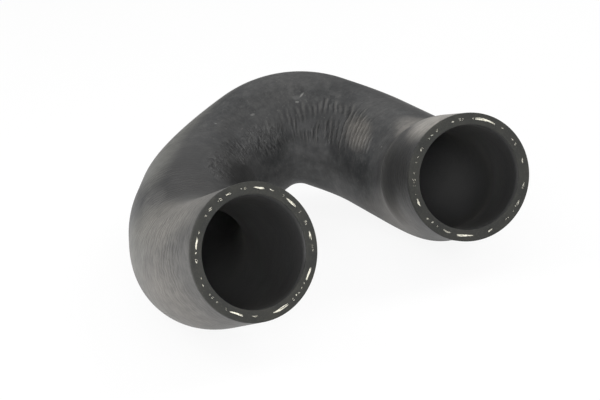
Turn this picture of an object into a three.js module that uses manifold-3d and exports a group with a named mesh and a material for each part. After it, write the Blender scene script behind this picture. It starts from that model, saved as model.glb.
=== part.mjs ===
import * as THREE from 'three';
import Module from 'manifold-3d';

// Radiator hose: one moulded rubber tube with a thick wall, bent round tightly on itself.
// Units are millimetres, +Z is up, and the hose lies on its side as it comes to rest.

// Section of the tube
const OUTER_DIAMETER = 49;
const WALL = 4.5;

// Straight runs of the centreline, from corner to corner, in order from end A to end B
const END_RUN_A = 58.3;
const FLOOR_RUN_A = 45;
const CROSS_RUN = 60.2;
const RISE_RUN = 46.4;
const DROP_RUN = 34.9;
const FLOOR_RUN_B = 57;
const STEP_RUN_B = 28.3;
const END_RUN_B = 30.4;

// Radii of the bends that round those corners
const FOOT_BEND_A = 90;
const SWEEP_BEND = 135;
const CROSS_BEND = 46;
const TIGHT_BEND = 30;
const FOOT_BEND_B = 45;
const END_BEND_B = 60;

// Each run points along a heading, counted from +X towards +Y, and climbs at a slope, both
// in degrees; the bend comes before the run
const ROUTE = [
  { run: END_RUN_A, heading: 90, slope: -22.1 },
  { bend: FOOT_BEND_A, run: FLOOR_RUN_A, heading: 66.6, slope: 2.1 },
  { bend: SWEEP_BEND, run: CROSS_RUN, heading: 58.2, slope: -1.5 },
  { bend: CROSS_BEND, run: RISE_RUN, heading: -1, slope: 22.1 },
  { bend: TIGHT_BEND, run: DROP_RUN, heading: -45.1, slope: -20.9 },
  { bend: TIGHT_BEND, run: FLOOR_RUN_B, heading: -87.2, slope: -5.8 },
  { bend: FOOT_BEND_B, run: STEP_RUN_B, heading: -118.5, slope: 24.7 },
  { bend: END_BEND_B, run: END_RUN_B, heading: -102, slope: 15.8 },
];

// The knife cuts stand more upright than square to the tube, by these angles in degrees
const CUT_LEAN_A = 8;
const CUT_LEAN_B = 6;

// Folds where the skin is crowded together on the inner side of the tight bends: shallow
// creases that run part of the way round the tube, all leaning the same way. They begin at
// a distance along the route, and FOLD_SIDE is where their spacing on the skin is measured
const FOLD_START = 195;
const FOLD_SIDE = 322;
const FOLD_PITCH = 2;
const FOLD_WIDTH = 1.4;
const FOLD_DEPTH = 0.45;
const FOLD_TIP_LIFT = 0.1;
const FOLD_LEAN = 17;

// Two rows of short creases side by side, then one row of long ones. First and spacing are
// counted in pitches, sides are the angles round the tube of a row's first and last crease,
// and reach is how far a crease runs to each side of its middle, in degrees
const FOLD_ROWS = [
  { first: 0.6, spacing: 1, count: 12, sides: [316, 302], reach: 8.5 },
  { first: 6.5, spacing: 1.17, count: 7, sides: [341, 324], reach: 12 },
  { first: 14.1, spacing: 1.6, count: 5, sides: [316, 315], reach: 19 },
];

// Fineness of the facets
const OUTER_SIDES = 48;
const BORE_SIDES = 32;
const BEND_STEP = 7;
const FOLD_FACET = 6.5;
const RULER_STEP = 0.25;

const RUBBER = { color: 0x34353a, roughness: 0.62, metalness: 0.0 };

const OUTER_RADIUS = OUTER_DIAMETER / 2;
const BORE_RADIUS = OUTER_RADIUS - WALL;
const UP = new THREE.Vector3(0, 0, 1);
const { degToRad, lerp } = THREE.MathUtils;

// A station is a place on the centreline: its point, the direction of travel, and a
// side vector square to that direction, from which angles round the tube are counted

function straightLeg(start, length) {
  const at = (along) => ({
    point: start.point.clone().addScaledVector(start.direction, along),
    direction: start.direction.clone(),
    side: start.side.clone(),
  });
  return { at, length, steps: 1 };
}

function bendLeg(start, towards, radius) {
  const angle = start.direction.angleTo(towards);
  const axis = start.direction.clone().cross(towards).normalize();
  const arm = axis.clone().cross(start.direction).multiplyScalar(radius);
  const centre = start.point.clone().add(arm);
  const at = (along) => {
    const turned = along / radius;
    return {
      point: arm.clone().negate().applyAxisAngle(axis, turned).add(centre),
      direction: start.direction.clone().applyAxisAngle(axis, turned),
      side: start.side.clone().applyAxisAngle(axis, turned),
    };
  };
  return { at, length: radius * angle, steps: Math.ceil(angle / degToRad(BEND_STEP)) };
}

// The unit vector of a heading and a slope
function pointing({ heading, slope }) {
  return new THREE.Vector3(1, 0, 0)
    .applyAxisAngle(new THREE.Vector3(0, -1, 0), degToRad(slope))
    .applyAxisAngle(UP, degToRad(heading));
}

// Straight runs and bends in turn, each starting where the last one ended. A bend takes
// the same length off the runs on both sides of it
function makeLegs(route) {
  const headings = route.map(pointing);
  const trims = route.map(({ bend }, i) =>
    bend ? bend * Math.tan(headings[i - 1].angleTo(headings[i]) / 2) : 0);
  const side = headings[0].clone().cross(UP).normalize();
  let station = { point: new THREE.Vector3(), direction: headings[0], side };
  const legs = [];
  const addLeg = (leg) => {
    legs.push(leg);
    station = leg.at(leg.length);
  };
  route.forEach(({ bend, run }, i) => {
    if (bend) addLeg(bendLeg(station, headings[i], bend));
    addLeg(straightLeg(station, run - trims[i] - (trims[i + 1] ?? 0)));
  });
  return legs;
}

// The station at a distance along the whole route
function stationAt(legs, distance) {
  let before = 0;
  for (const leg of legs) {
    if (distance <= before + leg.length) return leg.at(distance - before);
    before += leg.length;
  }
  return legs.at(-1).at(legs.at(-1).length);
}

function makeStations(legs) {
  const stations = [legs[0].at(0)];
  for (const leg of legs) {
    for (let step = 1; step <= leg.steps; step++) {
      stations.push(leg.at((leg.length * step) / leg.steps));
    }
  }
  return stations;
}

// A point out from the centreline, at an angle round it
function pointRound(station, radius, angle) {
  const outward = station.side.clone().applyAxisAngle(station.direction, angle);
  return station.point.clone().addScaledVector(outward, radius);
}

// One ring of points; with a cut normal they slide along the tube into the cut's plane
function makeRing(station, radius, sides, cutNormal) {
  const ring = [];
  for (let i = 0; i < sides; i++) {
    const point = pointRound(station, radius, (2 * Math.PI * i) / sides);
    if (cutNormal) {
      const offset = station.point.clone().sub(point).dot(cutNormal);
      point.addScaledVector(station.direction, offset / station.direction.dot(cutNormal));
    }
    ring.push(point);
  }
  return ring;
}

// The normal of an end face: the tube's outward direction, leaned towards the ground
function cutNormal(outward, lean) {
  const level = outward.clone().cross(UP).normalize();
  return outward.clone().applyAxisAngle(level, -degToRad(lean));
}

// A closed solid lofted through rings of equally many points
function loft(rings) {
  const sides = rings[0].length;
  const triangles = [];
  for (let r = 0; r + 1 < rings.length; r++) {
    for (let i = 0; i < sides; i++) {
      const a = r * sides + i;
      const b = r * sides + ((i + 1) % sides);
      triangles.push(a, b, b + sides, a, b + sides, a + sides);
    }
  }
  const last = (rings.length - 1) * sides;
  for (let i = 1; i + 1 < sides; i++) {
    triangles.push(0, i + 1, i);
    triangles.push(last, last + i, last + i + 1);
  }
  return { points: rings.flat(), triangles };
}

function toSolid(wasm, { points, triangles }) {
  const vertProperties = new Float32Array(points.flatMap((point) => point.toArray()));
  const triVerts = new Uint32Array(triangles);
  return new wasm.Manifold(new wasm.Mesh({ numProp: 3, vertProperties, triVerts }));
}

// The tube's outer form or its bore; the bore runs on past both ends so that it cuts clean
function makeTube(stations, radius, sides, cuts, runOn) {
  const rings = stations.map((station, i) => {
    const isFirst = i === 0;
    const isLast = i === stations.length - 1;
    const shift = isFirst ? -runOn : isLast ? runOn : 0;
    const moved = { ...station, point: station.point.clone().addScaledVector(station.direction, shift) };
    return makeRing(moved, radius, sides, isFirst ? cuts.a : isLast ? cuts.b : null);
  });
  return loft(rings);
}

// Turns a length of folded skin, measured from the start of the folds, into a distance
// along the route. The skin is shorter than the centreline on the inner side of a bend
function skinRuler(legs, longest) {
  const skinAt = (along) => pointRound(stationAt(legs, along), OUTER_RADIUS, degToRad(FOLD_SIDE));
  const marks = [{ along: FOLD_START, skin: 0 }];
  while (marks.at(-1).skin < longest) {
    const { along, skin } = marks.at(-1);
    const stride = skinAt(along).distanceTo(skinAt(along + RULER_STEP));
    marks.push({ along: along + RULER_STEP, skin: skin + stride });
  }
  return (length) => {
    const next = Math.max(1, marks.findIndex(({ skin }) => skin >= length));
    const [low, high] = [marks[next - 1], marks[next]];
    return lerp(low.along, high.along, (length - low.skin) / (high.skin - low.skin));
  };
}

// The wedge that cuts one crease: deepest at its middle and clear of the skin at both tips
function foldCutter(legs, ruler, { middle, side, reach }) {
  const rim = OUTER_RADIUS + 2 * FOLD_TIP_LIFT;
  const steps = 2 * Math.ceil(reach / FOLD_FACET);
  const rings = [];
  for (let step = 0; step <= steps; step++) {
    const share = (2 * step) / steps - 1;
    const turned = degToRad(share * reach);
    const angle = degToRad(side) + turned;
    const shift = OUTER_RADIUS * turned * Math.tan(degToRad(FOLD_LEAN));
    const station = stationAt(legs, ruler(middle + shift));
    const depth = lerp(FOLD_DEPTH, -FOLD_TIP_LIFT, share * share);
    const half = station.direction.clone().multiplyScalar(FOLD_WIDTH / 2);
    rings.push([
      pointRound(station, OUTER_RADIUS - depth, angle),
      pointRound(station, rim, angle).add(half),
      pointRound(station, rim, angle).sub(half),
    ]);
  }
  return loft(rings);
}

function makeFoldCutters(legs) {
  const folds = FOLD_ROWS.flatMap(({ first, spacing, count, sides, reach }) =>
    Array.from({ length: count }, (_, i) => ({
      middle: FOLD_PITCH * (first + i * spacing),
      side: lerp(sides[0], sides[1], i / (count - 1)),
      reach,
    })));
  const longest = Math.max(...folds.map(({ middle }) => middle)) + 2 * FOLD_PITCH;
  const ruler = skinRuler(legs, longest);
  return folds.map((fold) => foldCutter(legs, ruler, fold));
}

function makeHoseSolid(wasm) {
  const legs = makeLegs(ROUTE);
  const stations = makeStations(legs);
  const cuts = {
    a: cutNormal(stations[0].direction.clone().negate(), CUT_LEAN_A),
    b: cutNormal(stations.at(-1).direction, CUT_LEAN_B),
  };
  const body = toSolid(wasm, makeTube(stations, OUTER_RADIUS, OUTER_SIDES, cuts, 0));
  const bore = toSolid(wasm, makeTube(stations, BORE_RADIUS, BORE_SIDES, cuts, WALL));
  let hose = body.subtract(bore);
  for (const cutter of makeFoldCutters(legs)) hose = hose.subtract(toSolid(wasm, cutter));
  return hose;
}

function toGeometry(solid) {
  const { numProp, vertProperties, triVerts } = solid.getMesh();
  const positions = new Float32Array((vertProperties.length / numProp) * 3);
  for (let i = 0; i < positions.length / 3; i++) {
    positions.set(vertProperties.subarray(i * numProp, i * numProp + 3), i * 3);
  }
  const geometry = new THREE.BufferGeometry();
  geometry.setAttribute('position', new THREE.BufferAttribute(positions, 3));
  geometry.setIndex(new THREE.BufferAttribute(new Uint32Array(triVerts), 1));
  geometry.computeVertexNormals();
  return geometry;
}

// Puts the lowest point on the ground and the middle of the outline over the origin
function standOnOrigin(geometry) {
  geometry.computeBoundingBox();
  const { min, max } = geometry.boundingBox;
  geometry.translate(-(min.x + max.x) / 2, -(min.y + max.y) / 2, -min.z);
}

const wasm = await Module();
wasm.setup();

const hoseGeometry = toGeometry(makeHoseSolid(wasm));
standOnOrigin(hoseGeometry);
const hose = new THREE.Mesh(hoseGeometry, new THREE.MeshStandardMaterial(RUBBER));
hose.name = 'hose';

const radiatorHose = new THREE.Group();
radiatorHose.name = 'radiator_hose';
radiatorHose.add(hose);

export default radiatorHose;
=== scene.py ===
import bpy
import math
import numpy as np
from mathutils import Matrix, Vector


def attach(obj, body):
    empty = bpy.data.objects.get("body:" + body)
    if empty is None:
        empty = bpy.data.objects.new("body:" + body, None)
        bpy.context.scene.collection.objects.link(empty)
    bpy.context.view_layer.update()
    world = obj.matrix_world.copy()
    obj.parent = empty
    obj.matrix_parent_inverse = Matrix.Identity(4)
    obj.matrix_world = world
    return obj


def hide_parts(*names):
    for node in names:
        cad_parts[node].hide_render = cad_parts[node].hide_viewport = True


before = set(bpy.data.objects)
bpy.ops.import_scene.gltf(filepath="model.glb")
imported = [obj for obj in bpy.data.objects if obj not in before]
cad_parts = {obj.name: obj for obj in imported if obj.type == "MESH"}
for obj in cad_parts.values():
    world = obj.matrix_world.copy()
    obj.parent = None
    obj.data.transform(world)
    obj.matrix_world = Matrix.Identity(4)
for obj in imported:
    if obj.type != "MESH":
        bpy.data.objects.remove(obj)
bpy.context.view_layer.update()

# Radiator hose on a white studio floor. The hose is worked out in millimetres and
# written into its meshes in metres.
MM = 0.001

# Section of the tube
OUTER_RADIUS = 24.44
BORE_RADIUS = 20.0

# Route of the tube: where it starts, then each straight run from corner to corner by its
# length, heading and slope, with the radius of the bend that comes before it
START = (-58.753, -82.227, 45.606)
ROUTE = [
    (None, 58.3, 90.0, -22.1),
    (90, 45.0, 66.6, 2.1),
    (135, 60.2, 58.2, -1.5),
    (46, 46.4, -1.0, 22.1),
    (30, 34.9, -45.1, -20.9),
    (30, 57.0, -87.2, -5.8),
    (45, 28.3, -118.5, 24.7),
    (60, 30.4, -102.0, 15.8),
]
UP = np.array([0.0, 0.0, 1.0])

# How far the two cut faces lean towards the ground, in degrees, and how far from an end the
# rings round the tube still slant with them
CUT_LEAN_A = 8
CUT_LEAN_B = 6
FACE_REACH = 20.0

# Folds on the inner side of the tight bends. Each is a ridge: its place on the skin in
# millimetres from FOLD_START, from and to in degrees round the tube, how far it slants over
# SLANT_SPAN degrees, and its height beside the others
FOLD_START = 195
FOLD_END = 266
FOLD_SIDE = 322
SLANT_SPAN = 40
FOLDS = [
    (1.2, 309, 322, 0.8, 0.5), (3.9, 310, 326, 1.7, 0.7), (6.1, 320, 332, 2.1, 0.8),
    (8.1, 309, 325, 5.0, 1.0), (10.0, 303, 324, 3.5, 0.8), (12.0, 308, 317, 6.0, 0.9),
    (13.9, 305, 319, 4.5, 1.2), (15.4, 300, 315, 4.1, 1.0), (16.9, 293, 313, 4.8, 1.1),
    (19.1, 300, 311, 7.0, 0.8), (21.1, 295, 310, 4.5, 1.1), (23.0, 297, 308, 5.4, 0.7),
    (24.6, 296, 309, 5.9, 0.8),
    (4.9, 334, 347, 3.0, 0.5), (8.6, 333, 349, 3.0, 0.4), (10.9, 336, 350, 4.0, 0.5),
    (13.1, 333, 350, 4.0, 0.8), (15.5, 331, 343, 6.5, 0.9), (17.4, 319, 350, 3.5, 1.0),
    (20.4, 317, 336, 3.5, 0.9), (22.6, 312, 340, 3.8, 1.0), (24.9, 315, 341, 4.2, 1.0),
    (27.0, 313, 336, 6.7, 0.8),
    (28.8, 291, 341, 5.6, 1.7), (31.3, 293, 333, 6.6, 1.2), (34.4, 289, 334, 5.5, 1.6),
    (37.2, 294, 331, 4.6, 1.2), (39.4, 300, 333, 5.2, 0.8), (41.6, 298, 332, 4.9, 1.0),
    (44.0, 305, 330, 4.0, 0.6), (46.2, 309, 331, 5.0, 0.5), (48.6, 314, 331, 4.0, 0.6),
]

# Shape of a fold across itself: a ridge between a valley and a shallower one
RIDGE_HIGH = 0.27
RIDGE_HALF = 0.5
VALLEY_OFF = 0.92
VALLEY_HALF = 0.42
VALLEY_SHARE = 0.8
VALLEY_SECOND = 0.6
FOLD_REACH = 9
RELIEF_TOP = 0.3

# Along itself a fold wanders by two waves and swells by a third, each given by its size and
# its turn in radians per degree, and fades out towards its tips by a power
FOLD_WANDERS = ((0.2, 0.3), (0.12, 0.85))
FOLD_SWELL = (0.25, 0.5)
FOLD_FADE = 0.6

# Fineness of the hose's mesh: points in a ring, and distances between rings
SIDES = 132
FINE_STEP = 0.24
COARSE_STEP = 1.1
BORE_STEP = 4.0

# The cut faces are thin slices of their own, with rounded edges
EDGE_ROUND = 0.35
EDGE_RINGS = 4
FACE_THICK = 0.8
FACE_INSET = FACE_THICK * 0.6
FACE_RINGS = 14

# Depth given to the bore at its very mouth, to tell it from the outside
BORE_MARK = 0.01


def unit(v):
    return v / np.linalg.norm(v)


def turn(v, axis, angle):
    """v turned about a unit axis"""
    c, s = math.cos(angle), math.sin(angle)
    return v * c + np.cross(axis, v) * s + axis * np.dot(axis, v) * (1 - c)


def pointing(heading, slope):
    """The unit vector of a heading, counted from +X towards +Y, and a slope"""
    h, e = math.radians(heading), math.radians(slope)
    return np.array([math.cos(e) * math.cos(h), math.cos(e) * math.sin(h), math.sin(e)])


class Route:
    """The centreline: straight runs joined by round bends, measured from end A."""

    def __init__(self, start, rows):
        heads = [pointing(heading, slope) for _, _, heading, slope in rows]
        angles = [math.acos(a @ b) for a, b in zip(heads, heads[1:])]
        trims = [0.0] + [row[0] * math.tan(a / 2) for row, a in zip(rows[1:], angles)] + [0.0]
        self.legs = []
        self.length = 0.0
        point, side = np.array(start), unit(np.cross(heads[0], UP))
        for i, (bend, run, _, _) in enumerate(rows):
            if i:
                axis = unit(np.cross(heads[i - 1], heads[i]))
                size = bend * angles[i - 1]
                point, side = self.add(size, bend, point, heads[i - 1], side, axis)
            size = run - trims[i] - trims[i + 1]
            point, side = self.add(size, None, point, heads[i], side, None)

    def add(self, size, radius, point, head, side, axis):
        self.legs.append((self.length, size, radius, point, head, side, axis))
        self.length += size
        end = self.at(self.length)
        return end[0], end[2]

    def at(self, along):
        """The point, direction and side vector at a distance along the route"""
        for start, size, radius, point, head, side, axis in self.legs:
            if along <= start + size + 1e-9:
                break
        step = along - start
        if radius is None:
            return point + head * step, head, side
        arm = np.cross(axis, head) * radius
        angle = step / radius
        place = point + arm - turn(arm, axis, angle)
        return place, turn(head, axis, angle), turn(side, axis, angle)


route = Route(START, ROUTE)


def cut_normal(outward, lean):
    """The normal of an end face: the outward direction, leaned towards the ground"""
    level = unit(np.cross(outward, UP))
    return turn(outward, level, -math.radians(lean))


FACE_A = cut_normal(-route.at(0)[1], CUT_LEAN_A)
FACE_B = cut_normal(route.at(route.length)[1], CUT_LEAN_B)


def face_slide(along, offsets):
    """How far points slide along the tube so that its last rings meet the slanted cut faces"""
    if along < FACE_REACH:
        axis = route.at(0)[1]
        return -(offsets @ FACE_A) / np.dot(axis, FACE_A) * (1 - along / FACE_REACH)
    left = route.length - along
    if left < FACE_REACH:
        axis = route.at(route.length)[1]
        return -(offsets @ FACE_B) / np.dot(axis, FACE_B) * (1 - left / FACE_REACH)
    return np.zeros(len(offsets))


ANGLES = np.arange(SIDES) * (2 * math.pi / SIDES)
DEGREES = np.degrees(ANGLES)


def ring(along, radius, push=0.0):
    """Points round the tube at a distance along it; radius may differ at each angle"""
    point, head, side = route.at(min(max(along, 0.0), route.length))
    third = np.cross(head, side)
    outward = np.outer(np.cos(ANGLES), side) + np.outer(np.sin(ANGLES), third)
    offsets = outward * np.broadcast_to(radius, SIDES)[:, None]
    slide = face_slide(along, offsets) + push
    return point + offsets + slide[:, None] * head


# Folds of the skin

def skin_table(margin=20, step=0.25):
    """Distance along the route against distance on the folded side of the skin"""
    along = np.arange(FOLD_START - margin, FOLD_END + margin, step)
    angle = math.radians(FOLD_SIDE)
    points = []
    for s in along:
        point, head, side = route.at(s)
        points.append(point + OUTER_RADIUS * turn(side, head, angle))
    steps = np.linalg.norm(np.diff(np.array(points), axis=0), axis=1)
    skin = np.concatenate([[0], np.cumsum(steps)])
    return along, skin - np.interp(FOLD_START, along, skin)


SKIN_ALONG, SKIN = skin_table()
rng = np.random.default_rng(7)
FOLD_WAVES = rng.uniform(0, 2 * math.pi, (len(FOLDS), 3))


def fold_relief(along, margin=6):
    """Height of the folds above the plain skin at each angle round the tube"""
    relief = np.zeros(SIDES)
    if not FOLD_START - margin < along < FOLD_END + margin:
        return relief
    skin = np.interp(along, SKIN_ALONG, SKIN)
    swell, swell_turn = FOLD_SWELL
    for (place, first, last, slant, high), waves in zip(FOLDS, FOLD_WAVES):
        if abs(skin - place) > FOLD_REACH:
            continue
        middle, reach = (first + last) / 2, (last - first) / 2
        off = (DEGREES - middle + 180) % 360 - 180
        wobble = sum(a * np.sin(off * b + wave) for (a, b), wave in zip(FOLD_WANDERS, waves))
        line = skin - place - slant / SLANT_SPAN * off + wobble
        window = np.clip(1 - (off / reach) ** 2, 0, 1) ** FOLD_FADE
        window *= 1 + swell * np.sin(off * swell_turn + waves[2])
        ridge = np.exp(-(line / RIDGE_HALF) ** 2)
        valley = np.exp(-((line + VALLEY_OFF) / VALLEY_HALF) ** 2)
        valley += VALLEY_SECOND * np.exp(-((line - VALLEY_OFF) / VALLEY_HALF) ** 2)
        relief += RIDGE_HIGH * high * window * (ridge - VALLEY_SHARE * valley)
    return np.minimum(relief, RELIEF_TOP)


# Meshes

def arc(steps):
    """Quarter of a circle as (inward, outward) shares, for the rounded edges of the cuts"""
    angles = np.linspace(0, math.pi / 2, steps)
    return [(1 - math.cos(a), 1 - math.sin(a)) for a in angles]


def skin_rows():
    """Closed loop of rings: outside from A to B, then the bore from B to A. With each ring
    come its distance along the route, its folds and how deep in the bore it is"""
    rows, alongs, folds, depths = [], [], [], []

    def put(along, radius, relief, depth):
        rows.append(ring(along, radius + relief))
        alongs.append(np.full(SIDES, along))
        folds.append(relief)
        depths.append(np.full(SIDES, depth))

    end = route.length
    fine_from, fine_to = FOLD_START - 4, FOLD_END + 5
    stretches = (
        (FACE_INSET, fine_from, COARSE_STEP),
        (fine_from, fine_to, FINE_STEP),
        (fine_to, end - FACE_INSET, COARSE_STEP),
    )
    for first, last, step in stretches:
        count = max(1, round((last - first) / step))
        for along in np.linspace(first, last, count, endpoint=last == end - FACE_INSET):
            put(along, OUTER_RADIUS, fold_relief(along), 0.0)
    count = round((end - 2 * FACE_INSET) / BORE_STEP)
    for along in np.linspace(end - FACE_INSET, FACE_INSET, count):
        put(along, BORE_RADIUS, np.zeros(SIDES), min(along, end - along) + BORE_MARK)
    return [np.array(part) for part in (rows, alongs, folds, depths)]


def face_rows(along, sign):
    """Closed loop of rings round the thin slice of rubber that carries a cut face"""
    e = EDGE_ROUND
    rows = [ring(along, OUTER_RADIUS, -sign * FACE_THICK)]
    for inward, back in arc(EDGE_RINGS):
        rows.append(ring(along, OUTER_RADIUS - e * inward, -sign * e * back))
    for radius in np.linspace(OUTER_RADIUS - e, BORE_RADIUS + e, FACE_RINGS)[1:-1]:
        rows.append(ring(along, radius))
    for inward, back in reversed(arc(EDGE_RINGS)):
        rows.append(ring(along, BORE_RADIUS + e * inward, -sign * e * back))
    rows.append(ring(along, BORE_RADIUS, -sign * FACE_THICK))
    return np.array(rows)


def add_mesh(name, points, faces, material):
    mesh = bpy.data.meshes.new(name)
    mesh.from_pydata((np.asarray(points) * MM).tolist(), [], [list(f) for f in faces])
    mesh.materials.append(material)
    mesh.polygons.foreach_set("use_smooth", np.ones(len(mesh.polygons), bool))
    mesh.update()
    piece = bpy.data.objects.new(name, mesh)
    bpy.context.scene.collection.objects.link(piece)
    return piece


def add_loop(name, rows, material, inside_out=False):
    """A closed form through a closed loop of rings"""
    count, sides = rows.shape[:2]
    index = np.arange(count * sides).reshape(count, sides)
    right = np.roll(index, -1, axis=1)
    quads = [index, right, np.roll(right, -1, axis=0), np.roll(index, -1, axis=0)]
    if inside_out:
        quads.reverse()
    faces = np.stack(quads, axis=-1).reshape(-1, 4)
    return add_mesh(name, rows.reshape(-1, 3), faces, material)


def add_values(piece, label, values):
    """A value at each point of a piece, for its material to read"""
    layer = piece.data.attributes.new(label, "FLOAT", "POINT")
    layer.data.foreach_set("value", np.asarray(values, np.float32).ravel())


# Ends of the reinforcing yarn in the cut faces: from and to in degrees round the wall, then
# how thick each one is beside the others
YARN_A = [
    (13, 15, 0.5), (30, 42, 1), (57, 59, 0.6), (62, 64, 0.6), (70, 86, 1), (102, 108, 0.5),
    (117, 131, 1), (144, 146, 0.5), (150, 152, 0.5), (164, 167, 0.6), (171, 172, 0.6),
    (186, 187, 0.6), (194, 195, 0.6), (198, 208, 1), (212, 214, 0.5), (228, 230, 0.6),
    (234, 238, 0.6), (248, 250, 0.7), (256, 261, 0.7), (274, 276, 0.6), (284, 295, 1),
    (300, 304, 0.6), (318, 330, 0.8), (346, 348, 0.5), (356, 364, 1),
]
YARN_B = [
    (12, 20, 0.8), (34, 36, 0.6), (40, 42, 0.6), (54, 64, 0.5), (70, 87, 1), (103, 106, 0.7),
    (124, 126, 0.6), (143, 148, 0.5), (162, 166, 0.5), (184, 190, 0.5), (205, 207, 0.5),
    (210, 212, 0.5), (226, 228, 0.5), (236, 258, 1), (272, 274, 0.6), (280, 282, 0.5),
    (298, 300, 0.5), (305, 307, 0.5), (322, 324, 0.5), (330, 332, 0.5), (346, 348, 0.6),
    (353, 354, 0.6),
]

# Stray ends between them: how many, their length in degrees and their thickness
YARN_STRAYS = 22
STRAY_LENGTH = (0.4, 1.6)
STRAY_THICK = 0.35

# Width of one end, and how far it stands out of the face and sinks into it
YARN_WIDTH = 0.56
YARN_PROUD = 0.1
YARN_DEEP = 0.35

# An end from THICK_YARN on has three strands, a thinner one two. Their gap and half width
# are shares of its width, and their least length is in degrees
THICK_YARN = 0.8
STRAND_GAP = 0.3
STRAND_HALF = (0.2, 0.3)
STRAND_LEAST = 1.8
STRAND_SIDES = 6


def face_point(along, normal, radius, degrees):
    """A point in a cut face, by its radius and its angle round the tube"""
    point, head, side = route.at(along)
    offset = radius * turn(side, head, math.radians(degrees))
    return point + offset - head * (offset @ normal) / (head @ normal)


def strand_points(along, normal, radius, aside, start, finish, wave, half):
    """Rings of points round a strand of yarn, which wavers and tapers to its tips"""
    steps = max(6, int((finish - start) * 1.2))
    points = []
    for k in range(steps + 1):
        share = k / steps
        degrees = start + (finish - start) * share
        taper = max(0.12, math.sin(math.pi * share) ** 0.45)
        wobble = 0.12 * math.sin(wave + share * 5) + rng.uniform(-0.05, 0.05)
        middle = radius + wobble + aside
        width = half * taper * rng.uniform(0.8, 1.2)
        heart = face_point(along, normal, middle, degrees)
        out = unit(face_point(along, normal, middle + 1, degrees) - heart)
        for corner in range(STRAND_SIDES):
            angle = corner * math.pi / 3
            lift = math.sin(angle)
            high = YARN_PROUD * taper if lift > 0 else YARN_DEEP
            points.append(heart + out * math.cos(angle) * width + normal * lift * high)
    return points


def strand_faces(base, count):
    """Faces of a strand of count rings, whose points begin at base"""
    faces = []
    for k in range(count - 1):
        for corner in range(STRAND_SIDES):
            a = base + STRAND_SIDES * k + corner
            b = base + STRAND_SIDES * k + (corner + 1) % STRAND_SIDES
            faces.append((a, a + STRAND_SIDES, b + STRAND_SIDES, b))
    last = base + STRAND_SIDES * (count - 1)
    faces.append([base + corner for corner in range(STRAND_SIDES)])
    faces.append([last + corner for corner in reversed(range(STRAND_SIDES))])
    return faces


def yarn_mesh(name, along, normal, dashes, material):
    """Frayed slivers of yarn lying in a cut face, each of a few strands side by side"""
    middle = (OUTER_RADIUS + BORE_RADIUS) / 2
    points, faces = [], []
    places = rng.uniform(0, 360, YARN_STRAYS)
    strays = [(a, a + rng.uniform(*STRAY_LENGTH), STRAY_THICK) for a in places]
    for first, last, thick in dashes + strays:
        strands = 3 if thick >= THICK_YARN else 2
        spread = 0.1 if thick >= THICK_YARN else 0.35
        least = STRAND_LEAST * min(1, 2 * thick)
        for strand in range(strands):
            shift = (strand - (strands - 1) / 2) * YARN_WIDTH * STRAND_GAP * thick
            start = first + rng.uniform(-0.8, 1.2)
            finish = last + rng.uniform(-1.2, 0.8)
            if finish - start < least:
                start, finish = (first + last - least) / 2, (first + last + least) / 2
            wave = rng.uniform(0, 2 * math.pi)
            aside = rng.uniform(-spread, spread)
            half = YARN_WIDTH * thick * rng.uniform(*STRAND_HALF)
            radius = middle + shift
            more = strand_points(along, normal, radius, aside, start, finish, wave, half)
            faces += strand_faces(len(points), len(more) // STRAND_SIDES)
            points += more
    return add_mesh(name, points, faces, material)


# Materials

def node_tree(name):
    material = bpy.data.materials.new(name)
    material.use_nodes = True
    tree = material.node_tree
    shader = next(n for n in tree.nodes if n.type == "BSDF_PRINCIPLED")
    return material, tree, shader


class Graph:
    """Short names for adding nodes to one material"""

    def __init__(self, tree):
        self.tree = tree

    def new(self, kind, inputs=(), **settings):
        node = self.tree.nodes.new(kind)
        for key, value in settings.items():
            setattr(node, key, value)
        for key, value in dict(inputs).items():
            if isinstance(value, bpy.types.NodeSocket):
                self.tree.links.new(value, node.inputs[key])
            else:
                node.inputs[key].default_value = value
        return node

    def math(self, operation, a, b=0.0):
        return self.new("ShaderNodeMath", {0: a, 1: b}, operation=operation).outputs[0]

    def plus(self, a, b):
        return self.math("ADD", a, b)

    def times(self, a, b):
        return self.math("MULTIPLY", a, b)

    def vector(self, operation, a, b):
        return self.new("ShaderNodeVectorMath", {0: a, 1: b}, operation=operation)

    def noise(self, vector, scale, detail, rough, distort=0.0):
        inputs = {"Vector": vector, "Scale": scale, "Detail": detail, "Roughness": rough}
        inputs["Distortion"] = distort
        return self.new("ShaderNodeTexNoise", inputs).outputs["Fac"]

    def ramp(self, value, low, high, start=0.0, finish=1.0):
        node = self.new("ShaderNodeMapRange", {0: value, 1: low, 2: high, 3: start, 4: finish})
        return node.outputs[0]

    def mix(self, share, a, b):
        node = self.new("ShaderNodeMix", data_type="RGBA")
        for key, value in ((0, share), (6, a), (7, b)):
            if isinstance(value, bpy.types.NodeSocket):
                self.tree.links.new(value, node.inputs[key])
            else:
                node.inputs[key].default_value = value
        return node.outputs[2]

    def value(self, name):
        return self.new("ShaderNodeAttribute", attribute_name=name).outputs["Fac"]

    def place(self):
        return self.new("ShaderNodeTexCoord").outputs["Object"]

    def bump(self, shader, height, strength, distance):
        inputs = {"Strength": strength, "Distance": distance, "Height": height}
        node = self.new("ShaderNodeBump", inputs)
        self.tree.links.new(node.outputs[0], shader.inputs["Normal"])


def srgb(r, g, b):
    def lin(c):
        c /= 255
        return c / 12.92 if c <= 0.04045 else ((c + 0.055) / 1.055) ** 2.4
    return (lin(r), lin(g), lin(b), 1.0)


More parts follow.
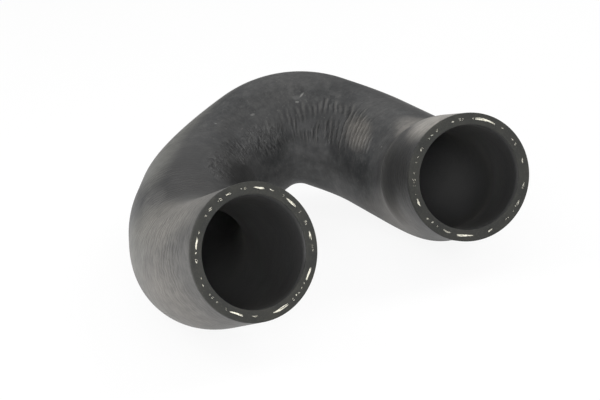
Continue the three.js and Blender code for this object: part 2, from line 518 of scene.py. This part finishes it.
def leaning(g, wrap, along, degrees, tilt):
    """Distances in mm from a place on the skin: along a line tilted from the route, across it
    and outward"""
    angle = math.radians(degrees)
    centre = (along, OUTER_RADIUS * math.cos(angle), OUTER_RADIUS * math.sin(angle))
    off = g.vector("SUBTRACT", wrap, centre).outputs[0]
    lean = math.radians(tilt)
    round_x, round_y = -math.sin(angle), math.cos(angle)
    main = (math.cos(lean), math.sin(lean) * round_x, math.sin(lean) * round_y)
    cross = (-math.sin(lean), math.cos(lean) * round_x, math.cos(lean) * round_y)
    outward = (0.0, math.cos(angle), math.sin(angle))
    return [g.vector("DOT_PRODUCT", off, axis).outputs[1] for axis in (main, cross, outward)]


# A patch fades out between these heights above its place, in radii of the tube, so that it
# has no twin on the opposite side
PATCH_FADE = (-1.7, -0.9)


def spot(g, wrap, along, degrees, long, wide, tilt):
    """1 at a place on the skin, fading to 0 at the edge of an oval round it"""
    main, cross, outward = leaning(g, wrap, along, degrees, tilt)
    parts = []
    for distance, size in ((main, long), (cross, wide)):
        share = g.math("DIVIDE", distance, size)
        parts.append(g.times(share, share))
    far = g.plus(parts[0], parts[1])
    fade = g.new("ShaderNodeMapRange", {0: far, 1: 0.0, 2: 1.0, 3: 1.0, 4: 0.0})
    fade.interpolation_type = "SMOOTHSTEP"
    near_side = g.ramp(outward, *(radii * OUTER_RADIUS for radii in PATCH_FADE))
    return g.times(fade.outputs[0], near_side)


RUBBER_DARK = srgb(40, 41, 42)
RUBBER_PALE = srgb(52, 52, 52)
# Dusty bloom in the speckle, and also painted highlight on the crests of creases
RUBBER_BLOOM_AND_HIGHLIGHT = srgb(74, 74, 73)
RUBBER_WORN = srgb(112, 110, 105)
# Darkest rubber: a tone of the speckle, and also painted shade in valleys, dents, troughs and
# patches
RUBBER_DEEP_AND_SHADE = srgb(22, 22, 23)
BORE_BLACK = srgb(44, 44, 44)
# Painted fill light: the bore is painted paler farther in, where it lies in shade
BORE_PAINTED_FILL = srgb(106, 106, 106)
CUT_DARK = srgb(28, 29, 27)
CUT_OLIVE = srgb(39, 39, 35)
CUT_PALE = srgb(54, 53, 48)
YARN_GREY = srgb(196, 192, 176)
YARN_CREAM = srgb(232, 230, 218)
YARN_STAIN = srgb(120, 116, 102)

# Noises of the rubber: scale per metre and detail. Streaks come from one more, stretched
# round the tube
NOISES = {
    "cloud": (45.0, 4.0),
    "mottle": (260.0, 3.0),
    "fine": (1100.0, 3.0),
    "wander": (220.0, 3.0),
}
NOISE_ROUGH = 0.6
STREAK_SHAPE = (0.9, 0.16, 0.16)

# Speckle over the dark rubber: which noise, from and to on it, the full strength, the colour
SPECKLES = [
    ("streak", 0.52, 0.72, 0.12, RUBBER_BLOOM_AND_HIGHLIGHT),
    ("streak", 0.46, 0.34, 0.25, RUBBER_DEEP_AND_SHADE),
    ("mottle", 0.5, 0.66, 0.33, RUBBER_BLOOM_AND_HIGHLIGHT),
    ("mottle", 0.46, 0.34, 0.3, RUBBER_DEEP_AND_SHADE),
    ("fine", 0.45, 0.66, 0.17, RUBBER_BLOOM_AND_HIGHLIGHT),
]

# Other changes of the rubber: from and to on a noise, a wave or a distance in millimetres,
# then from and to in strength
CLOUD_PALE = (0.36, 0.64)
RIDGE_WORN = (0.0, 0.22, 0.0, 0.2)
# Painted shade in the valleys beside the folds
VALLEY_SHADE = (-0.2, -0.03, 0.8, 0.0)
PATCH_MOTTLE = (0.3, 0.65)
# Painted shade in the dents of the creases, and painted highlights on their crests
CREASE_SHADE = (0.48, 0.36, 0.0, 0.9)
CREASE_HIGHLIGHT = (0.53, 0.62, 0.0, 0.5)
RIB_CLOUD = (0.42, 0.6, 0.25, 1.0)
RIB_PALE = (0.0, 1.0, 0.0, 0.17)
# Painted shade in the troughs of the ribs
RIB_TROUGH_SHADE = (0.0, -1.0, 0.0, 0.24)
FLECKS = (0.66, 0.74, 0.0, 0.3)
# Depths in the bore over which it turns paler, as painted fill light
BORE_FILL_DEPTHS = (12.0, 75.0)
ROUGHNESS = (0.3, 0.7, 0.42, 0.52)

# Paler and darker patches of the skin, most of them painted light and painted shade, with a
# few small scuffs and some dust: along, degrees round the tube, half length, half width and
# tilt, then how strong and which colour
LIGHT_SHADE_AND_SCUFF_PATCHES = [
    ((257, 317, 13, 8, 20), 0.26, srgb(124, 118, 110)),
    # Painted light, partly dusty bloom, on leg A's lower flank, then more painted light on leg
    # A
    ((36, 237, 44, 16, 0), 0.62, srgb(114, 111, 105)),
    ((30, 165, 75, 34, 0), 0.32, srgb(102, 99, 95)),
    # Small scuffs and specks
    ((206.8, 297, 1.9, 0.5, 120), 0.6, srgb(128, 128, 125)),
    ((205.0, 305, 1.1, 0.6, 0), 0.7, srgb(128, 128, 125)),
    ((204.6, 300, 2.0, 1.5, 0), 0.3, srgb(110, 110, 108)),
    ((278.5, 319, 0.7, 0.6, 0), 0.9, srgb(140, 140, 136)),
    ((185, 302, 1.3, 0.7, 20), 0.5, srgb(120, 120, 118)),
    ((163.7, 282, 1.2, 0.4, 90), 0.6, srgb(130, 130, 128)),
    # Painted highlight and painted light on the neck by end B
    ((336, 288, 20, 14, 15), 0.9, srgb(146, 142, 136)),
    ((298, 283, 34, 11, 0), 0.65, srgb(134, 130, 124)),
    # Painted shade: a dark triangle by the crotch, then darker patches along leg A
    ((120, 334, 32, 11, 12), 0.95, srgb(16, 16, 17)),
    ((92, 271, 34, 15, 0), 0.6, RUBBER_DEEP_AND_SHADE),
    ((118, 268, 24, 14, 0), 0.4, RUBBER_DEEP_AND_SHADE),
    ((74, 274, 14, 11, 0), 0.4, RUBBER_DEEP_AND_SHADE),
    # Painted light on leg A, then painted highlights along its left outlines
    ((78, 243, 18, 7, 0), 0.45, srgb(92, 91, 89)),
    ((36, 158, 28, 24, 0), 0.4, srgb(118, 114, 108)),
    ((138, 244, 56, 11, 0), 0.55, srgb(106, 106, 101)),
    ((66, 205, 26, 18, 0), 0.4, srgb(114, 113, 106)),
    # Painted shade ahead of the folds
    ((165, 312, 60, 14, 0), 0.3, RUBBER_DEEP_AND_SHADE),
    ((222, 328, 42, 12, 0), 0.65, RUBBER_DEEP_AND_SHADE),
    # Painted light on leg B, painted fill light in the crotch, and painted light on the leg
    # beside end B's collar
    ((302, 32, 42, 16, 0), 0.55, srgb(112, 108, 103)),
    ((222, 6, 48, 13, 0), 0.5, srgb(96, 96, 96)),
    ((282, 350, 14, 16, 0), 0.4, srgb(80, 80, 80)),
    # Painted shade over end B's collar
    ((318, 348, 14, 19, 0), 1.0, srgb(8, 8, 8)),
    ((334, 345, 18, 16, 0), 0.9, srgb(20, 20, 20)),
]

# Patches with faint disordered creases, and the tilt of the creases
PUCKERS = [
    ((112, 309, 22, 8, 0), -20),
    ((145, 319, 24, 9, 4), -40),
    ((178, 330, 22, 10, 4), -62),
]
CREASE_STRETCH = 0.4

# Ribs left by the wrapping: their spacing in millimetres, how far they wander, their share
# everywhere, and patches where they are stronger
RIB_SPACING = 2.9
RIB_WANDER = 16.0
RIB_SHARE = 0.12
RIBBED = [
    ((34, 224, 42, 26, 0), 0.55),
    ((88, 262, 34, 18, 0), 0.45),
]

# Patches that are duller or shinier than the rest, and the change of roughness there
SHINES = [
    ((318, 350, 16, 22, 0), 0.35),
    ((122, 334, 36, 13, 12), -0.12),
]

# Heights of the rubber's fine relief beside each other
RIB_HEIGHT = 2.4
HEIGHTS = {"fine": 0.5, "streak": 0.2, "mottle": 2.2}
CREASE_HEIGHT = 18.0

RUBBER_SHEEN = {
    "IOR": 1.5,
    "Specular IOR Level": 0.28,
    "Sheen Weight": 0.04,
    "Sheen Roughness": 0.3,
    "Sheen Tint": (1.0, 0.97, 0.91, 1.0),
}


def rib_waves(g, wrap, along, depth, noises):
    """The wave of the ribs, and how strong they are at each point"""
    count = g.times(along, 2 * math.pi / RIB_SPACING)
    ribs = g.math("SINE", g.plus(count, g.times(noises["wander"], RIB_WANDER)))
    share = RIB_SHARE
    for zone, more in RIBBED:
        share = g.plus(share, g.times(spot(g, wrap, *zone), more))
    outside = g.ramp(depth, 0.0, BORE_MARK, 1.0, 0.0)
    return ribs, g.times(g.ramp(noises["cloud"], *RIB_CLOUD), g.times(share, outside))


def add_creases(g, wrap, colour):
    """The colour with the faint creases drawn in, as painted shade in their dents and painted
    highlights on their crests, and their height
    """
    height = 0.0
    for zone, tilt in PUCKERS:
        pucker = spot(g, wrap, *zone)
        main, cross, _ = leaning(g, wrap, zone[0], zone[1], tilt)
        inputs = {0: g.times(main, CREASE_STRETCH), 1: cross}
        lines = g.new("ShaderNodeCombineXYZ", inputs).outputs[0]
        creases = g.noise(lines, 0.5, 2.0, 0.5, 1.1)
        dent_shade = g.times(g.ramp(creases, *CREASE_SHADE), pucker)
        colour = g.mix(dent_shade, colour, RUBBER_DEEP_AND_SHADE)
        crest_highlight = g.times(g.ramp(creases, *CREASE_HIGHLIGHT), pucker)
        colour = g.mix(crest_highlight, colour, RUBBER_BLOOM_AND_HIGHLIGHT)
        height = g.plus(height, g.times(creases, pucker))
    return colour, height


def rubber_material():
    """Moulded rubber: patchy near black, with wavy ribs, dusty bloom, creases and scuffs, and
    painted light and shade in patches, fold valleys, rib troughs and creases, and a painted
    fill deep in the bore
    """
    material, tree, shader = node_tree("moulded_rubber")
    g = Graph(tree)
    place = g.place()
    along, fold, depth = g.value("along"), g.value("fold"), g.value("depth")
    inputs = {0: along, 1: g.value("cosine"), 2: g.value("sine")}
    wrap = g.new("ShaderNodeCombineXYZ", inputs).outputs[0]
    noises = {}
    for name, (scale, detail) in NOISES.items():
        noises[name] = g.noise(place, scale, detail, NOISE_ROUGH)
    streaky = g.vector("MULTIPLY", wrap, STREAK_SHAPE).outputs[0]
    noises["streak"] = g.noise(streaky, 1.0, 4.0, NOISE_ROUGH)
    ribs, rib_share = rib_waves(g, wrap, along, depth, noises)

    colour = g.mix(g.ramp(noises["cloud"], *CLOUD_PALE), RUBBER_DARK, RUBBER_PALE)
    for name, low, high, share, tint in SPECKLES:
        colour = g.mix(g.ramp(noises[name], low, high, 0.0, share), colour, tint)
    colour = g.mix(g.ramp(fold, *RIDGE_WORN), colour, RUBBER_WORN)
    colour = g.mix(g.ramp(fold, *VALLEY_SHADE), colour, RUBBER_DEEP_AND_SHADE)
    # Patches of painted light and painted shade, and scuffs, laid over the colour
    for zone, share, tint in LIGHT_SHADE_AND_SCUFF_PATCHES:
        mottled = g.ramp(noises["mottle"], *PATCH_MOTTLE, share * 0.5, share)
        colour = g.mix(g.times(spot(g, wrap, *zone), mottled), colour, tint)
    colour, creases = add_creases(g, wrap, colour)
    colour = g.mix(g.times(g.ramp(ribs, *RIB_PALE), rib_share), colour, RUBBER_WORN)
    colour = g.mix(g.times(g.ramp(ribs, *RIB_TROUGH_SHADE), rib_share), colour, RUBBER_DEEP_AND_SHADE)
    colour = g.mix(g.ramp(noises["fine"], *FLECKS), colour, RUBBER_WORN)
    # Inside the bore the colour turns paler with depth, as painted fill light
    bore = g.mix(g.ramp(depth, *BORE_FILL_DEPTHS), BORE_BLACK, BORE_PAINTED_FILL)
    colour = g.mix(g.ramp(depth, 0.0, BORE_MARK), colour, bore)
    tree.links.new(colour, shader.inputs["Base Color"])

    rough = g.ramp(noises["cloud"], *ROUGHNESS)
    for zone, change in SHINES:
        rough = g.plus(rough, g.times(spot(g, wrap, *zone), change))
    tree.links.new(rough, shader.inputs["Roughness"])
    for socket, value in RUBBER_SHEEN.items():
        shader.inputs[socket].default_value = value

    height = g.times(ribs, g.times(rib_share, RIB_HEIGHT))
    for name, size in HEIGHTS.items():
        height = g.plus(height, g.times(noises[name], size))
    height = g.plus(height, g.times(creases, CREASE_HEIGHT))
    g.bump(shader, height, 0.6, 0.1 * MM)
    return material


def cut_material():
    """Cut rubber: matt, olive grey, finely grained"""
    material, tree, shader = node_tree("cut_rubber")
    g = Graph(tree)
    place = g.place()
    cloud = g.noise(place, 160.0, 4.0, 0.6)
    fine = g.noise(place, 1500.0, 2.0, 0.6)
    body = g.mix(g.ramp(cloud, 0.35, 0.65), CUT_DARK, CUT_OLIVE)
    colour = g.mix(g.ramp(fine, 0.55, 0.7, 0.0, 0.5), body, CUT_PALE)
    tree.links.new(colour, shader.inputs["Base Color"])
    shader.inputs["Roughness"].default_value = 0.8
    g.bump(shader, fine, 0.6, 0.12 * MM)
    return material


def yarn_material():
    """Undyed yarn: cream, fibrous, darkened here and there by rubber"""
    material, tree, shader = node_tree("yarn")
    g = Graph(tree)
    place = g.place()
    fibre = g.noise(place, 1800.0, 2.0, 0.6)
    stain = g.noise(place, 500.0, 2.0, 0.5)
    pale = g.mix(g.ramp(fibre, 0.3, 0.7), YARN_GREY, YARN_CREAM)
    colour = g.mix(g.ramp(stain, 0.52, 0.68, 0.0, 0.7), pale, YARN_STAIN)
    tree.links.new(colour, shader.inputs["Base Color"])
    shader.inputs["Roughness"].default_value = 0.9
    g.bump(shader, fibre, 0.7, 0.1 * MM)
    return material


# The hose

rubber = rubber_material()
cut = cut_material()
yarn = yarn_material()

rows, alongs, folds, depths = skin_rows()
hose = add_loop("hose_skin", rows, rubber)
rounds = np.broadcast_to(ANGLES, alongs.shape)
add_values(hose, "along", alongs)
add_values(hose, "cosine", np.cos(rounds) * OUTER_RADIUS)
add_values(hose, "sine", np.sin(rounds) * OUTER_RADIUS)
add_values(hose, "fold", folds)
add_values(hose, "depth", depths)
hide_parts("hose")
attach(hose, "root")

ends = (
    ("a", 0.0, -1, FACE_A, YARN_A),
    ("b", route.length, 1, FACE_B, YARN_B),
)
for letter, along, sign, normal, dashes in ends:
    face = add_loop("cut_face_" + letter, face_rows(along, sign), cut, sign < 0)
    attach(face, "root")
    slivers = yarn_mesh("yarn_" + letter, along, normal, dashes, yarn)
    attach(slivers, "root")


# Studio

FLOOR_REACH = 4.0
FLOOR_GREY = 0.82

# How much the floor glows white of itself: for the camera, and for all it lights
FLOOR_WHITE = 0.9
FLOOR_GLOW = 0.5

# Strength of the white surroundings as a light
WORLD_LIGHT = 0.3

# Soft lamps: name, place in metres, width and height, and power
LAMPS = [
    ("left_front_low", (-0.87, -0.2, 0.17), (0.5, 0.24), 4.4),
    ("front_low", (-0.75, -0.48, 0.17), (0.5, 0.24), 2.0),
    ("left_high", (-0.69, 0.35, 0.81), (0.7, 0.7), 5.0),
    ("front_high", (-0.25, -0.49, 0.98), (0.7, 0.7), 2.8),
    ("right_high", (0.69, -0.35, 0.81), (0.7, 0.7), 7.2),
    ("back_high", (0.35, 0.69, 0.81), (0.7, 0.7), 1.4),
    ("front_fill", (-0.32, -0.62, 0.3), (0.25, 0.25), 1.9),
]
LAMP_AIM = Vector((0, 0, 0.03))


def floor_material():
    """White studio floor: shows plain white, and keeps a soft shadow of the hose"""
    material, tree, shader = node_tree("studio_floor")
    g = Graph(tree)
    shader.inputs["Base Color"].default_value = (FLOOR_GREY, FLOOR_GREY, FLOOR_GREY, 1)
    shader.inputs["Roughness"].default_value = 1.0
    shader.inputs["Specular IOR Level"].default_value = 0.0
    seen = g.new("ShaderNodeLightPath").outputs["Is Camera Ray"]
    share = g.ramp(seen, 0.0, 1.0, FLOOR_GLOW, FLOOR_WHITE)
    white = g.new("ShaderNodeEmission", {"Color": (1, 1, 1, 1), "Strength": 1.0})
    blend = g.new("ShaderNodeMixShader", {0: share, 1: shader.outputs[0], 2: white.outputs[0]})
    output = next(n for n in tree.nodes if n.type == "OUTPUT_MATERIAL")
    tree.links.new(blend.outputs[0], output.inputs["Surface"])
    return material


def add_floor():
    mesh = bpy.data.meshes.new("studio_floor")
    signs = ((-1, -1), (1, -1), (1, 1), (-1, 1))
    corners = [(x * FLOOR_REACH, y * FLOOR_REACH, 0) for x, y in signs]
    mesh.from_pydata(corners, [], [(0, 1, 2, 3)])
    mesh.materials.append(floor_material())
    floor = bpy.data.objects.new("studio_floor", mesh)
    bpy.context.scene.collection.objects.link(floor)


def add_world():
    """White all round: full white for the camera, weaker as a light"""
    world = bpy.data.worlds.new("studio")
    bpy.context.scene.world = world
    world.use_nodes = True
    world.node_tree.nodes.clear()
    g = Graph(world.node_tree)
    seen = g.new("ShaderNodeLightPath").outputs["Is Camera Ray"]
    strength = g.ramp(seen, 0.0, 1.0, WORLD_LIGHT, 1.0)
    sky = g.new("ShaderNodeBackground", {"Color": (1, 1, 1, 1), "Strength": strength})
    g.new("ShaderNodeOutputWorld", {"Surface": sky.outputs[0]})


def add_lamp(name, place, size, energy):
    lamp = bpy.data.lights.new(name, "AREA")
    lamp.shape = "RECTANGLE"
    lamp.size, lamp.size_y = size
    lamp.energy = energy
    holder = bpy.data.objects.new(name, lamp)
    holder.location = place
    aim = LAMP_AIM - holder.location
    holder.rotation_mode = "QUATERNION"
    holder.rotation_quaternion = aim.to_track_quat("-Z", "Y")
    bpy.context.scene.collection.objects.link(holder)


add_floor()
add_world()
for row in LAMPS:
    add_lamp(*row)


# Camera: where the photograph was taken from, by its right, up and backward directions

CAMERA_PLACE = (-308.342, -611.691, 265.675)
CAMERA_RIGHT = (0.8666, -0.48567, -0.11455)
CAMERA_UP = (0.2557, 0.23508, 0.93774)
CAMERA_BACK = (-0.42851, -0.84194, 0.32791)
CAMERA_LENS = 108.0
CAMERA_WIDTH = 36.0

camera_data = bpy.data.cameras.new("camera")
camera_data.lens = CAMERA_LENS
camera_data.sensor_width = CAMERA_WIDTH
camera = bpy.data.objects.new("camera", camera_data)
bpy.context.scene.collection.objects.link(camera)
axes = Matrix((CAMERA_RIGHT, CAMERA_UP, CAMERA_BACK)).transposed()
camera.matrix_world = Matrix.Translation(Vector(CAMERA_PLACE) * MM) @ axes.to_4x4()
camera_data.clip_start, camera_data.clip_end = 0.01, 50.0
bpy.context.scene.camera = camera
bpy.context.scene.view_settings.view_transform = "Standard"
